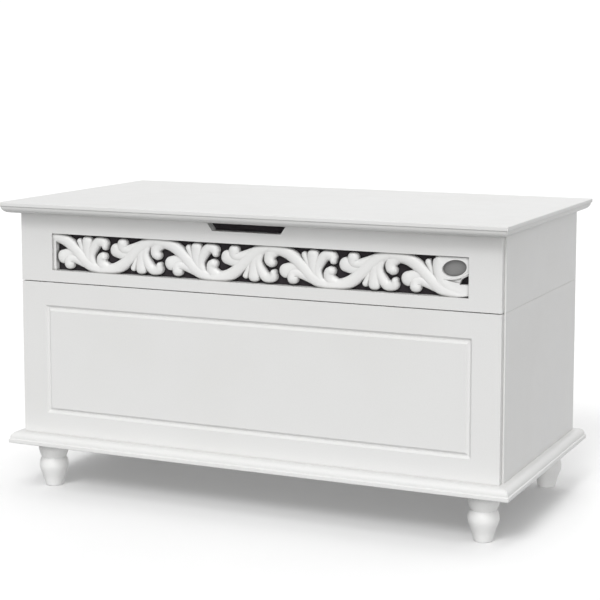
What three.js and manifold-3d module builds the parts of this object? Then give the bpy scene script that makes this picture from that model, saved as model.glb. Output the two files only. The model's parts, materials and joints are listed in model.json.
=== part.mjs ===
// Storage bench: a painted chest on four turned feet with a hinged lid that is also the seat.
// Millimetres, +Z up, front towards -Y. The origin is the middle of the footprint on the floor.
//
// A lower box and a frieze box stand on each other on a moulded base board. Four corner posts
// tie the boards together. The lid swings on two butt hinges at the back, and two slotted
// stays stop it just past upright.

import * as THREE from 'three';
import { mergeVertices } from 'three/addons/utils/BufferGeometryUtils.js';
import Module from 'manifold-3d';

const wasm = await Module();
wasm.setup();

// ---- Driving dimensions ----

const fitGap = 0.3;                  // air left between two pieces that touch

// body
const bodyWidth = 808;
const bodyDepth = 381;
const boardThickness = 15;
const frontInset = 2.5;              // front boards stop this far short of the side faces
const seamHeight = 340;              // line between the lower box and the frieze box
const seamGap = 1;
const lidUnderside = 450.5;
const friezeClearance = 0.5;         // under the closed lid

// base board, a flat board with a moulded edge
const baseBottom = 75;
const baseTop = 93;
const baseSideOverhang = 17;
const baseFrontOverhang = 19.5;

// lid, a flat board with a square lip over a quarter round
const lidTop = 468;
const lidSideOverhang = 16;
const lidFrontOverhang = 35.5;
const lidLip = 6;

// routed frame on the lower front board
const grooveHalfLength = 358;
const grooveBottom = 127;
const grooveTop = 302;
const grooveWidth = 8.5;
const grooveDepth = 3;
const grooveSlope = 2;

// frieze opening, its fretwork and the finger notch
const openingLeft = -344.5;
const openingRight = 352;
const openingBottom = 359;
const openingTop = 418;
const halfWave = 97.6;                // crest to trough of the running scroll
const fretThickness = 11;
const fretSetback = 2;
const firstCrest = -352;             // the crest that the left edge cuts
const waveCount = 7;
const notchTopHalf = 67;
const notchBottomHalf = 57.5;
const notchDepth = 14;
const backingThickness = 3;
const backingMargin = 10;
const backingTop = 448;              // it also closes the finger notch from behind

// corner posts
const postSize = 22;
const postTop = 447.5;

// feet
const footX = 368;
const frontFootY = -158.5;
const backFootY = 168;
const footRadii = [
  [13, 0], [14.6, 0.8], [15.4, 3], [16.5, 12], [19, 20], [22.3, 28], [23.5, 35],
  [22.5, 42], [19.9, 47.2], [22.6, 54], [24.4, 61], [25, 70], [25, baseBottom - fitGap],
];
const footBoltRadius = 4;
const footBoltInFoot = 22;
const footBoltInBase = 12;

// hinges
const hingeX = 250;
const hingeWidth = 64;
const leafThickness = 2;
const knuckleRadius = 3.2;
const knuckleBore = 1.9;
const pinRadius = 1.6;
const middleKnuckle = 22;
const bodyLeafDrop = 30;
const lidLeafReach = 15.5;
const hingeScrewX = 20;

// lid stays: both ends are stayRadius from the hinge line, so an arm turns at half the lid's rate
const stayRadius = 120;
const lidOpenAngle = 95;
const stayPivotHeight = 436.5;
const stayClosedAngle = 26;          // between the two ends, seen from the hinge line
const armThickness = 2;
const armHalfWidth = 8;
const slotHalfWidth = 3.5;
const studRadius = 3;
const rivetRadius = 2.5;
const rivetHole = 2.9;
const armInnerX = 382.2;

// screws
const screwHeadRadius = 3.6;
const screwHeadHeight = 2;
const screwShankRadius = 1.6;
const screwLength = 12;
const pilotRadius = 1.9;
const baseScrewRadius = 2.2;
const baseScrewLength = 44;
const baseScrewHeadRadius = 4.6;
const baseScrewY = 90;

// ---- Values worked out from them ----

const sideX = bodyWidth / 2;
const frontY = -bodyDepth / 2;
const backY = bodyDepth / 2;
const sideInnerX = sideX - boardThickness;
const frontInnerY = frontY + boardThickness;
const backInnerY = backY - boardThickness;
const lowerTop = seamHeight - seamGap / 2;
const upperBottom = seamHeight + seamGap / 2;
const friezeTop = lidUnderside - friezeClearance;
const hingeY = backY + fitGap + knuckleRadius;
const hingeZ = lidUnderside - fitGap - knuckleRadius;
const hingeLineDrop = hingeZ - stayPivotHeight;
const lidEndAngle = Math.asin(hingeLineDrop / stayRadius);
const studAngle = lidEndAngle + THREE.MathUtils.degToRad(stayClosedAngle);
const stayPivotY = hingeY - stayRadius * Math.cos(lidEndAngle);
const studY = hingeY - stayRadius * Math.cos(studAngle);
const studZ = hingeZ - stayRadius * Math.sin(studAngle);

// ---- Materials ----

function finish(colour, roughness, metalness) {
  return new THREE.MeshStandardMaterial({ color: colour, roughness, metalness });
}

const whitePaint = finish('#e9e9e7', 0.42, 0);
const darkBacking = finish('#1d1a1e', 0.9, 0);
const steel = finish('#a9acae', 0.35, 1);
const rubber = finish('#d8d8d4', 0.6, 0);

// ---- Solids ----

// A closed geometry as a solid that can be joined and cut.
function solid(geometry) {
  const bare = geometry.clone();
  bare.deleteAttribute('normal');
  bare.deleteAttribute('uv');
  const merged = mergeVertices(bare, 1e-4);
  const vertProperties = new Float32Array(merged.attributes.position.array);
  const triVerts = new Uint32Array(merged.index.array);
  return new wasm.Manifold(new wasm.Mesh({ numProp: 3, vertProperties, triVerts }));
}

function geometryOf(body) {
  const mesh = body.getMesh();
  const geometry = new THREE.BufferGeometry();
  geometry.setAttribute('position', new THREE.BufferAttribute(mesh.vertProperties, 3));
  geometry.setIndex(new THREE.BufferAttribute(mesh.triVerts, 1));
  const faceted = geometry.toNonIndexed();
  faceted.computeVertexNormals();
  return faceted;
}

function cutAll(body, cutters) {
  return cutters.reduce((rest, cutter) => rest.subtract(cutter), body);
}

function joinAll(bodies) {
  return bodies.reduce((sum, body) => sum.add(body));
}

// A box between two corners.
function block(xLow, xHigh, yLow, yHigh, zLow, zHigh) {
  const box = new THREE.BoxGeometry(xHigh - xLow, yHigh - yLow, zHigh - zLow);
  box.translate((xLow + xHigh) / 2, (yLow + yHigh) / 2, (zLow + zHigh) / 2);
  return solid(box);
}

function outline(points) {
  return new THREE.Shape(points.map(([a, b]) => new THREE.Vector2(a, b)));
}

function extruded(shape, depth) {
  return new THREE.ExtrudeGeometry(shape, { depth, bevelEnabled: false, curveSegments: 8 });
}

// A shape drawn in X and Z that fills from yBack forwards to yBack - depth.
function standing(shape, yBack, depth) {
  const geometry = extruded(shape, depth);
  geometry.rotateX(Math.PI / 2);
  geometry.translate(0, yBack, 0);
  return solid(geometry);
}

// A shape drawn in Y and Z that fills from xLow to xLow + depth.
function sideways(shape, xLow, depth) {
  const geometry = extruded(shape, depth);
  const axes = [new THREE.Vector3(0, 1, 0), new THREE.Vector3(0, 0, 1), new THREE.Vector3(1, 0, 0)];
  geometry.applyMatrix4(new THREE.Matrix4().makeBasis(...axes));
  geometry.translate(xLow, 0, 0);
  return solid(geometry);
}

// A board with the same moulding on all four edges, mitred at the corners. The edge profile
// is a list of [inset from the edge, height], from the bottom face up to the top face.
function mouldedBoard(halfLength, halfWidth, edge) {
  const section = (half) => outline([
    ...edge.map(([inset, height]) => [half - inset, height]),
    ...[...edge].reverse().map(([inset, height]) => [inset - half, height]),
  ]);
  const along = sideways(section(halfWidth), -halfLength, 2 * halfLength);
  const across = standing(section(halfLength), halfWidth, 2 * halfWidth);
  return along.intersect(across);
}

// Points on a quarter ellipse about (cx, cy), from angle a to b in degrees.
function quarter(cx, cy, rx, ry, a, b, steps) {
  return Array.from({ length: steps + 1 }, (_, i) => {
    const angle = THREE.MathUtils.degToRad(a + (b - a) * i / steps);
    return [cx + rx * Math.cos(angle), cy + ry * Math.sin(angle)];
  });
}

// A turned solid about the Z axis from [radius, height] pairs.
function turned(profile, segments) {
  const closed = [[0, profile[0][1]], ...profile, [0, profile[profile.length - 1][1]]];
  const points = closed.map(([radius, height]) => new THREE.Vector2(radius, height));
  const geometry = new THREE.LatheGeometry(points, segments);
  geometry.rotateX(Math.PI / 2);
  return geometry;
}

// A round bar along an axis ('x', 'y' or 'z'), which starts at a point.
function bar(axis, radius, length, [x, y, z], segments = 16) {
  const geometry = turned([[radius, 0], [radius, length]], segments);
  aim(geometry, axis);
  geometry.translate(x, y, z);
  return solid(geometry);
}

// Turns a geometry that points up +Z so that it points along an axis, such as 'x' or '-y'.
function aim(geometry, axis) {
  const turns = {
    z: () => geometry,
    '-z': () => geometry.rotateX(Math.PI),
    y: () => geometry.rotateX(-Math.PI / 2),
    '-y': () => geometry.rotateX(Math.PI / 2),
    x: () => geometry.rotateY(Math.PI / 2),
    '-x': () => geometry.rotateY(-Math.PI / 2),
  };
  turns[axis]();
}

// ---- Assembly ----

const bench = new THREE.Group();

function add(name, body, material) {
  const mesh = new THREE.Mesh(geometryOf(body), material);
  mesh.name = name;
  bench.add(mesh);
}

// The two ends of the bench: the sign of X and the word that names it.
const ends = [[-1, 'left'], [1, 'right']];

// A box that is mirrored to the end given by side.
function endBlock(side, xLow, xHigh, ...rest) {
  const [a, b] = side > 0 ? [xLow, xHigh] : [-xHigh, -xLow];
  return block(a, b, ...rest);
}

// The mirror image of a piece that is drawn for the right end.
function mirrored(side, body) {
  if (side > 0) {
    return body;
  }
  const geometry = geometryOf(body);
  geometry.scale(-1, 1, 1);
  const count = geometry.attributes.position.count;
  geometry.setIndex(Array.from({ length: count }, (_, i) => count - 1 - i));
  return solid(geometry);
}

// ---- Screws ----

// A countersunk screw whose head is flush at a point and whose shank runs along an axis.
function screw(axis, [x, y, z], length, shank, head) {
  const profile = [
    [head, 0], [head, 0.4], [shank, screwHeadHeight], [shank, length - 3], [0.5, length],
  ];
  const geometry = turned(profile, 12);
  aim(geometry, axis);
  geometry.translate(x, y, z);
  return solid(geometry);
}

// The countersunk hole for that screw, a little larger all round.
function screwHole(axis, place, length, shank, head) {
  return screw(axis, place, length + 1, shank + fitGap, head + fitGap);
}

// ---- Feet ----

const footPlaces = [
  ['front_left', -footX, frontFootY],
  ['front_right', footX, frontFootY],
  ['back_left', -footX, backFootY],
  ['back_right', footX, backFootY],
];

function footBoltHole(x, y) {
  const start = baseBottom - footBoltInFoot - 1;
  const length = footBoltInFoot + footBoltInBase + 2;
  return bar('z', footBoltRadius + 0.4, length, [x, y, start], 12);
}

function addFeet() {
  for (const [place, x, y] of footPlaces) {
    const geometry = turned(footRadii, 24);
    geometry.translate(x, y, 0);
    add(`foot_${place}`, solid(geometry).subtract(footBoltHole(x, y)), whitePaint);
    const start = baseBottom - footBoltInFoot;
    const bolt = bar('z', footBoltRadius, footBoltInFoot + footBoltInBase, [x, y, start], 12);
    add(`foot_bolt_${place}`, bolt, steel);
  }
}

// ---- Base board and its screws ----

const baseScrewPlaces = [
  ['front_left', -1, -baseScrewY], ['front_right', 1, -baseScrewY],
  ['back_left', -1, baseScrewY], ['back_right', 1, baseScrewY],
].map(([place, side, y]) => [place, side, [side * (sideX - boardThickness / 2), y, baseBottom]]);

function baseScrewHole(place) {
  return screwHole('z', place, baseScrewLength, baseScrewRadius, baseScrewHeadRadius);
}

function addBase() {
  const edge = [
    [1.5, baseBottom], [0, baseBottom + 1.5], [0, baseBottom + 6], [0.8, baseBottom + 7.2],
    ...quarter(12, baseTop - 9.5, -10.3, 9.5, 0, 90, 6),
  ];
  const board = mouldedBoard(sideX + baseSideOverhang, backY + baseFrontOverhang, edge);
  const holes = [
    ...footPlaces.map(([, x, y]) => footBoltHole(x, y)),
    ...baseScrewPlaces.map(([, , place]) => baseScrewHole(place)),
  ];
  add('base_board', cutAll(board, holes), whitePaint);
  for (const [name, , place] of baseScrewPlaces) {
    const body = screw('z', place, baseScrewLength, baseScrewRadius, baseScrewHeadRadius);
    add(`base_screw_${name}`, body, steel);
  }
}

// ---- Lower box ----

// The routed line: a shallow channel with sloping walls round a flat field.
function grooveCutter() {
  const middle = (grooveBottom + grooveTop) / 2;
  const halfHeight = (grooveTop - grooveBottom) / 2;
  const above = 1;
  const lean = grooveSlope / grooveDepth * above;
  const plug = (shrink, slope) => mouldedBoard(
    grooveHalfLength - shrink + slope / grooveSlope * lean,
    halfHeight - shrink + slope / grooveSlope * lean,
    [[slope + slope / grooveSlope * lean, -grooveDepth], [0, above]],
  );
  const outer = plug(0, grooveSlope);
  const inner = plug(grooveWidth, -grooveSlope);
  const geometry = geometryOf(outer.subtract(inner));
  geometry.rotateX(Math.PI / 2);
  geometry.translate(0, frontY, middle);
  return solid(geometry);
}

function addLowerBox() {
  const bottom = baseTop + fitGap;
  const halfFront = sideX - frontInset;
  const front = block(-halfFront, halfFront, frontY, frontInnerY, bottom, lowerTop);
  add('front_panel', front.subtract(grooveCutter()), whitePaint);
  for (const [side, word] of ends) {
    const panel = endBlock(side, sideInnerX, sideX, frontInnerY + fitGap, backY, bottom, lowerTop);
    const holes = baseScrewPlaces.filter((entry) => entry[1] === side);
    const cut = cutAll(panel, holes.map(([, , place]) => baseScrewHole(place)));
    add(`side_panel_${word}`, cut, whitePaint);
  }
  const halfBack = sideInnerX - fitGap;
  add('back_panel', block(-halfBack, halfBack, backInnerY, backY, bottom, lowerTop), whitePaint);
}

// ---- Corner posts and lid bumpers ----

function addPosts() {
  const outerX = sideInnerX - fitGap;
  const rows = [
    ['front', frontInnerY + fitGap, frontInnerY + fitGap + postSize],
    ['back', backInnerY - fitGap - postSize, backInnerY - fitGap],
  ];
  for (const [side, word] of ends) {
    for (const [row, yLow, yHigh] of rows) {
      const span = [outerX - postSize, outerX, yLow, yHigh, baseTop + fitGap, postTop];
      add(`corner_post_${row}_${word}`, endBlock(side, ...span), whitePaint);
    }
    const place = [side * (outerX - postSize / 2), rows[0][1] + postSize / 2, postTop + fitGap];
    const height = lidUnderside - postTop - 2 * fitGap;
    add(`lid_bumper_${word}`, bar('z', 5, height, place), rubber);
  }
}

// ---- Frieze box ----

function rectangle(left, right, bottom, top) {
  return outline([[left, bottom], [right, bottom], [right, top], [left, top]]);
}

function addFriezeFront() {
  const half = sideX - frontInset;
  const shape = outline([
    [-half, upperBottom], [half, upperBottom], [half, friezeTop],
    [notchTopHalf, friezeTop], [notchBottomHalf, friezeTop - notchDepth],
    [-notchBottomHalf, friezeTop - notchDepth], [-notchTopHalf, friezeTop],
    [-half, friezeTop],
  ]);
  shape.holes.push(rectangle(openingLeft, openingRight, openingBottom, openingTop));
  add('frieze_front', standing(shape, frontInnerY, boardThickness), whitePaint);
}

function addFriezeBox() {
  addFriezeFront();
  for (const [side, word] of ends) {
    const span = [sideInnerX, sideX, frontInnerY + fitGap, backY, upperBottom, friezeTop];
    const panel = endBlock(side, ...span);
    const cut = cutAll(panel, stayPlateScrews(side).map((place) => pilotHole(outward(side), place)));
    add(`frieze_side_${word}`, cut, whitePaint);
  }
  const halfBack = sideInnerX - fitGap;
  const back = block(-halfBack, halfBack, backInnerY, backY, upperBottom, friezeTop);
  const holes = bodyLeafScrews().map(([, place]) => pilotHole('-y', place));
  add('frieze_back', cutAll(back, holes), whitePaint);
  const yFront = frontInnerY + fitGap;
  const backing = block(
    openingLeft - backingMargin, openingRight + backingMargin, yFront, yFront + backingThickness,
    openingBottom - backingMargin, backingTop,
  );
  add('fret_backing', backing, darkBacking);
}

// ---- Fretwork: a running acanthus scroll ----

// A flat ribbon with round ends. Each point is [along, up, half width]; a curve runs through
// them. It returns the outline of the ribbon.
function ribbon(points, steps) {
  const curve = new THREE.CatmullRomCurve3(points.map((point) => new THREE.Vector3(...point)));
  const samples = curve.getSpacedPoints(steps);
  const heading = (i) => {
    const a = samples[Math.max(i - 1, 0)];
    const b = samples[Math.min(i + 1, steps)];
    return Math.atan2(b.y - a.y, b.x - a.x);
  };
  const offset = (i, turn) => [
    samples[i].x + samples[i].z * Math.cos(heading(i) + turn),
    samples[i].y + samples[i].z * Math.sin(heading(i) + turn),
  ];
  const quarterTurn = Math.PI / 2;
  const caps = [-45, 0, 45].map(THREE.MathUtils.degToRad);
  const right = samples.map((_, i) => offset(i, -quarterTurn));
  const left = samples.map((_, i) => offset(i, quarterTurn)).reverse();
  const endCap = caps.map((turn) => offset(steps, turn));
  const startCap = caps.map((turn) => offset(0, Math.PI + turn));
  return [...right, ...endCap, ...left, ...startCap];
}

// The pieces of one half wave, drawn about a trough at (0, 0): the stem falls from the crest on
// the left, leaves and a hook rise from it, and two lobes hang on the stem that rises again.
const stem = [
  [-98, 52, 7], [-78, 50, 7.5], [-62, 43, 8.5], [-47, 31, 9.5], [-33, 18, 10], [-17, 9, 8.5],
  [2, 5, 6],
];
const smallLeaf = [[-35, 26, 1.5], [-38.5, 38, 3.6], [-43, 48, 4.6]];
const tallLeaf = [[-20, 8, 6], [-27, 24, 8], [-28.5, 38, 9], [-28.5, 47.5, 10]];
const hook = [
  [-15, 8, 6], [-20.5, 24, 5.6], [-17, 38, 6.6], [-8, 48.3, 7.6], [2.5, 47, 7.8], [5, 41.5, 5.6],
];
const curl = [[22, 7, 6], [9, 8, 7.5], [-1.5, 14, 8.6], [-3, 22.5, 8.2], [0.5, 26.5, 6.6]];
const lowerLobe = [[25, 37.5, 10.5], [36, 34, 9.5], [52, 30, 8]];
const upperLobe = [[38, 48.5, 9.5], [47, 43.5, 7.6], [59, 45.5, 7.5], [74, 51, 7]];

const leaves = [smallLeaf, tallLeaf, hook, curl];
const lobes = [lowerLobe, upperLobe];

// Places ribbons of a half wave: every second one is mirrored top to bottom.
function placeRibbons(ribbons, index) {
  const centre = firstCrest + halfWave * index;
  const isTrough = index % 2 === 1;
  return ribbons.map((points) => {
    const placed = ribbon(points, 9).map(([along, up]) => [
      centre + along, isTrough ? openingBottom + up : openingTop - up,
    ]);
    return standing(outline(isTrough ? placed : placed.reverse()), fretBackY, fretThickness);
  });
}

const fretBackY = frontY + fretSetback + fretThickness;

// The last scroll closes into a ring round a tilted oval eye that is hollowed, not pierced.
function endScroll() {
  const centre = firstCrest + halfWave * waveCount;
  const right = centre + 22;
  const ring = outline([
    [centre - 37, openingTop - 7], [centre - 34, openingTop - 2.5], [centre - 28, openingTop - 1],
    [right, openingTop - 1], [right, openingBottom], [centre - 14, openingBottom],
    [centre - 30, openingBottom + 14], [centre - 36, openingBottom + 30],
  ].reverse());
  const gap = outline([
    [centre + 5, openingBottom + 18.5], [right, openingBottom + 18.5],
    [right, openingBottom + 32], [centre + 13, openingBottom + 28],
  ]);
  const eye = new THREE.Shape();
  eye.absellipse(centre - 1.8, openingBottom + 42, 17.5, 11, 0, 2 * Math.PI, false, 0.2);
  const eyeFloorY = fretBackY - 3;
  return standing(ring, fretBackY, fretThickness)
    .subtract(standing(gap, fretBackY + 1, fretThickness + 2))
    .subtract(standing(eye, eyeFloorY, fretThickness));
}

function addFretwork() {
  const pieces = placeRibbons(lobes, 0);
  for (let index = 1; index <= waveCount; index += 1) {
    pieces.push(...placeRibbons([stem], index));
    const isLast = index === waveCount;
    pieces.push(...placeRibbons(isLast ? [smallLeaf] : [...leaves, ...lobes], index));
  }
  pieces.push(endScroll());
  const window = block(
    openingLeft + fitGap, openingRight - fitGap, frontY, frontInnerY,
    openingBottom + fitGap, openingTop - fitGap,
  );
  add('fretwork', joinAll(pieces).intersect(window), whitePaint);
}

// ---- Screws that hold the hinges and stays ----

function pilotHole(axis, place) {
  return bar(axis, pilotRadius, screwLength + 1, place, 12);
}

function addSmallScrew(name, axis, place) {
  add(name, screw(axis, place, screwLength, screwShankRadius, screwHeadRadius), steel);
}

function smallScrewHole(axis, place) {
  return screwHole(axis, place, screwLength, screwShankRadius, screwHeadRadius);
}

// ---- Hinges ----

const bodyLeafOuterY = backY + fitGap + leafThickness;
const lidLeafUnderZ = lidUnderside - fitGap - leafThickness;

function leafScrews(placeOf) {
  const places = [];
  for (const [side, word] of ends) {
    [-hingeScrewX, hingeScrewX].forEach((shift, index) => {
      places.push([`${word}_${index + 1}`, placeOf(side * hingeX + shift)]);
    });
  }
  return places;
}

function bodyLeafScrews() {
  return leafScrews((x) => [x, bodyLeafOuterY, hingeZ - bodyLeafDrop / 2 - 2]);
}

function lidLeafScrews() {
  return leafScrews((x) => [x, hingeY + lidLeafReach - 5, lidLeafUnderZ]);
}

// A knuckle: a tube along X.
function knuckle(xLow, length) {
  const tube = bar('x', knuckleRadius, length, [xLow, hingeY, hingeZ]);
  return tube.subtract(bar('x', knuckleBore, length + 2, [xLow - 1, hingeY, hingeZ]));
}

function addHinge(side, word) {
  const centre = side * hingeX;
  const xLow = centre - hingeWidth / 2;
  const xHigh = centre + hingeWidth / 2;
  const play = 0.4;
  const endLength = (hingeWidth - middleKnuckle) / 2 - play;
  const clear = knuckleRadius + play;
  const bore = bar('x', knuckleBore, hingeWidth + 2, [xLow - 1, hingeY, hingeZ]);

  const leafBack = backY + fitGap;
  const bodyPlate = block(
    xLow, xHigh, leafBack, bodyLeafOuterY, hingeZ - bodyLeafDrop, hingeZ - clear,
  );
  const tongues = [xLow, xHigh - endLength].map((x) => (
    block(x, x + endLength, leafBack, bodyLeafOuterY, hingeZ - clear - 1, hingeZ)
      .subtract(bore).add(knuckle(x, endLength))
  ));
  const bodyHoles = bodyLeafScrews().map(([, place]) => smallScrewHole('-y', place));
  const bodyLeaf = cutAll(joinAll([bodyPlate, ...tongues]), bodyHoles);
  add(`hinge_body_leaf_${word}`, bodyLeaf, steel);

  const middleLow = centre - middleKnuckle / 2;
  const lidPlate = block(
    xLow, xHigh, hingeY + clear, hingeY + lidLeafReach, lidLeafUnderZ, lidUnderside - fitGap,
  );
  const lidTongue = block(
    middleLow, middleLow + middleKnuckle, hingeY, hingeY + clear + 1,
    lidLeafUnderZ, lidUnderside - fitGap,
  );
  const lidHoles = lidLeafScrews().map(([, place]) => smallScrewHole('z', place));
  const lidParts = [lidPlate, lidTongue.subtract(bore), knuckle(middleLow, middleKnuckle)];
  add(`hinge_lid_leaf_${word}`, cutAll(joinAll(lidParts), lidHoles), steel);

  const head = 1.2;
  const headGap = 0.2;
  const profile = [
    [2.6, -head], [2.6, 0], [pinRadius, 0], [pinRadius, hingeWidth + 2 * headGap],
    [2.6, hingeWidth + 2 * headGap], [2.6, hingeWidth + 2 * headGap + head],
  ];
  const pin = turned(profile, 12);
  aim(pin, 'x');
  pin.translate(xLow - headGap, hingeY, hingeZ);
  add(`hinge_pin_${word}`, solid(pin), steel);
}

function addHinges() {
  for (const [side, word] of ends) {
    addHinge(side, word);
  }
  for (const [name, place] of bodyLeafScrews()) {
    addSmallScrew(`hinge_body_screw_${name}`, '-y', place);
  }
  for (const [name, place] of lidLeafScrews()) {
    addSmallScrew(`hinge_lid_screw_${name}`, 'z', place);
  }
}

// ---- Lid stays ----

const plateInnerX = sideInnerX - fitGap - 2;
const tabInnerX = armInnerX + armThickness + 0.4;
const tabThickness = 2;

function outward(side) {
  return side > 0 ? 'x' : '-x';
}

function stayPlateScrews(side) {
  return [-15, 15].map((shift) => [side * plateInnerX, studY + shift, studZ]);
}

function stayBracketScrews(side) {
  const x = side * (tabInnerX - 9);
  return [-10, 10].map((shift) => [x, stayPivotY + shift, lidLeafUnderZ]);
}

// A bar shape with round ends between two points of a plane.
function capsule([ay, az], [by, bz], radius) {
  const heading = Math.atan2(bz - az, by - ay);
  const shape = new THREE.Shape();
  shape.absarc(by, bz, radius, heading - Math.PI / 2, heading + Math.PI / 2, false);
  shape.absarc(ay, az, radius, heading + Math.PI / 2, heading + Math.PI * 1.5, false);
  return shape;
}

// The slotted arm hangs from the lid bracket and slides over the stud on the side board.
function stayArm() {
  const startDistance = 2 * stayRadius * Math.sin(THREE.MathUtils.degToRad(stayClosedAngle / 2));
  const openAngle = (stayClosedAngle + lidOpenAngle) / 2;
  const endDistance = 2 * stayRadius * Math.sin(THREE.MathUtils.degToRad(openAngle));
  const along = [(studY - stayPivotY) / startDistance, (studZ - stayPivotHeight) / startDistance];
  const at = (distance) => [
    stayPivotY + along[0] * distance, stayPivotHeight + along[1] * distance,
  ];
  const shape = capsule(at(0), at(endDistance + 3), armHalfWidth);
  shape.holes.push(capsule(at(startDistance - 1), at(endDistance + 0.5), slotHalfWidth));
  const hole = new THREE.Path();
  hole.absarc(stayPivotY, stayPivotHeight, rivetHole, 0, 2 * Math.PI, true);
  shape.holes.push(hole);
  return sideways(shape, armInnerX, armThickness);
}

// A plate with a headed stud on the inside of the frieze side board.
function stayPlate() {
  const shape = capsule([studY - 14, studZ], [studY + 14, studZ], 8);
  const plate = sideways(shape, plateInnerX, 2);
  const stud = bar('x', studRadius, plateInnerX - armInnerX + 1.5, [armInnerX - 0.5, studY, studZ]);
  const head = bar('x', 5.5, 2, [armInnerX - 2.5, studY, studZ]);
  const holes = stayPlateScrews(1).map((place) => smallScrewHole('x', place));
  return cutAll(joinAll([plate, stud, head]), holes);
}

// An angle bracket under the lid that carries the arm's rivet.
function stayBracket() {
  const top = lidUnderside - fitGap;
  const flange = block(
    tabInnerX - 16, tabInnerX + tabThickness, stayPivotY - 16, stayPivotY + 16,
    lidLeafUnderZ, top,
  );
  const tabShape = capsule([stayPivotY, top - 8], [stayPivotY, stayPivotHeight], 8);
  const tab = sideways(tabShape, tabInnerX, tabThickness);
  const hole = bar('x', rivetHole, tabThickness + 2, [tabInnerX - 1, stayPivotY, stayPivotHeight]);
  const holes = stayBracketScrews(1).map((place) => smallScrewHole('z', place));
  return cutAll(flange.add(tab), [hole, ...holes]);
}

function stayRivet() {
  const shankLow = armInnerX - 0.3;
  const shankHigh = tabInnerX + tabThickness + 0.3;
  const profile = [
    [4.5, shankLow - 1.8], [4.5, shankLow], [rivetRadius, shankLow], [rivetRadius, shankHigh],
    [4, shankHigh], [4, shankHigh + 1.2],
  ];
  const geometry = turned(profile, 16);
  aim(geometry, 'x');
  geometry.translate(0, stayPivotY, stayPivotHeight);
  return solid(geometry);
}

function addStays() {
  for (const [side, word] of ends) {
    add(`stay_arm_${word}`, mirrored(side, stayArm()), steel);
    add(`stay_plate_${word}`, mirrored(side, stayPlate()), steel);
    add(`stay_bracket_${word}`, mirrored(side, stayBracket()), steel);
    add(`stay_rivet_${word}`, mirrored(side, stayRivet()), steel);
    stayPlateScrews(side).forEach((place, index) => {
      addSmallScrew(`stay_plate_screw_${word}_${index + 1}`, outward(side), place);
    });
    stayBracketScrews(side).forEach((place, index) => {
      addSmallScrew(`stay_bracket_screw_${word}_${index + 1}`, 'z', place);
    });
  }
}

// ---- Lid ----

function addLid() {
  const lipBottom = lidTop - lidLip;
  const roundWidth = 14;
  const roundInset = 2;
  const edge = [
    ...quarter(roundInset + roundWidth, lipBottom - 1, -roundWidth, lidUnderside - lipBottom + 1,
      90, 0, 7),
    [roundInset, lipBottom], [0.4, lipBottom], [0, lipBottom + 0.4],
    [0, lidTop - 1.2], [0.4, lidTop - 0.4], [1.2, lidTop],
  ];
  const board = mouldedBoard(sideX + lidSideOverhang, backY + lidFrontOverhang, edge);
  const places = [
    ...lidLeafScrews().map(([, place]) => place),
    ...ends.flatMap(([side]) => stayBracketScrews(side)),
  ];
  add('lid_board', cutAll(board, places.map((place) => pilotHole('z', place))), whitePaint);
}

addFeet();
addBase();
addLowerBox();
addPosts();
addFriezeBox();
addFretwork();
addHinges();
addStays();
addLid();

export default bench;
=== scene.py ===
"""The looks of a storage bench: satin painted boards, a carved scroll frieze over dark felt,
turned feet, and the steel hinges and stays of its lid. Metres, +Z up, front towards -Y."""

import json
import math

import bmesh
import bpy
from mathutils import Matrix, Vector


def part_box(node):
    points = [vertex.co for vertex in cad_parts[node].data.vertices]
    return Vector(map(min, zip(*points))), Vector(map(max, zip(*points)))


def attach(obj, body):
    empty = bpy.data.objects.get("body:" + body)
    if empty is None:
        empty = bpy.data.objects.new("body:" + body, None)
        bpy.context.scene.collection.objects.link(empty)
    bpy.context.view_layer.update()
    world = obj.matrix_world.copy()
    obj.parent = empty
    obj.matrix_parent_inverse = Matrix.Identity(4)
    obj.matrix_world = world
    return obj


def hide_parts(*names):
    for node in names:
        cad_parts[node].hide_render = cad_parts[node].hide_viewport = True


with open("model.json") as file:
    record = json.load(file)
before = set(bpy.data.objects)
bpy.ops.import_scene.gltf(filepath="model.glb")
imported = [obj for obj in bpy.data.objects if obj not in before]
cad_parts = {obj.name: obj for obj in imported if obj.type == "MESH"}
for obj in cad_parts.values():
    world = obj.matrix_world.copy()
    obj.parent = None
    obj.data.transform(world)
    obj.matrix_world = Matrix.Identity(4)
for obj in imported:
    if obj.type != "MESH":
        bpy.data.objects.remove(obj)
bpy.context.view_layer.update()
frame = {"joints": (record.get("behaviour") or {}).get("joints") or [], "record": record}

MM = 0.001
WELD_DISTANCE = 1e-7
BODY_OF = {
    node: body
    for body, nodes in frame["record"]["behaviour"]["bodies"].items()
    for node in nodes
}
JOINT_PLACE = {joint["name"]: Vector(joint["pos_m"]) for joint in frame["joints"]}
LID_TRAVEL = math.radians(next(
    joint["range_deg"][1] for joint in frame["joints"] if joint["name"] == "lid_hinge"
))
ENDS = ((-1, "left"), (1, "right"))
CORNERS = [f"{row}_{word}" for row in ("front", "back") for _, word in ENDS]

# Where a section's own a and b and its height h go for a solid that rises along an axis.
AXES = {
    "x": lambda a, b, h: Vector((h, a, b)), "-x": lambda a, b, h: Vector((-h, a, b)),
    "y": lambda a, b, h: Vector((a, h, b)), "-y": lambda a, b, h: Vector((a, -h, b)),
    "z": lambda a, b, h: Vector((a, b, h)), "-z": lambda a, b, h: Vector((a, b, -h)),
}

# Camera, on the bench's front right: angles in radians, lens in millimetres
CAMERA_PLACE = (1.0966, -2.3835, 0.7234)
CAMERA_YAW = 0.4305
CAMERA_PITCH = 0.1139
CAMERA_LENS = 98.71
CAMERA_SHIFT_UP = -0.12

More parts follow.
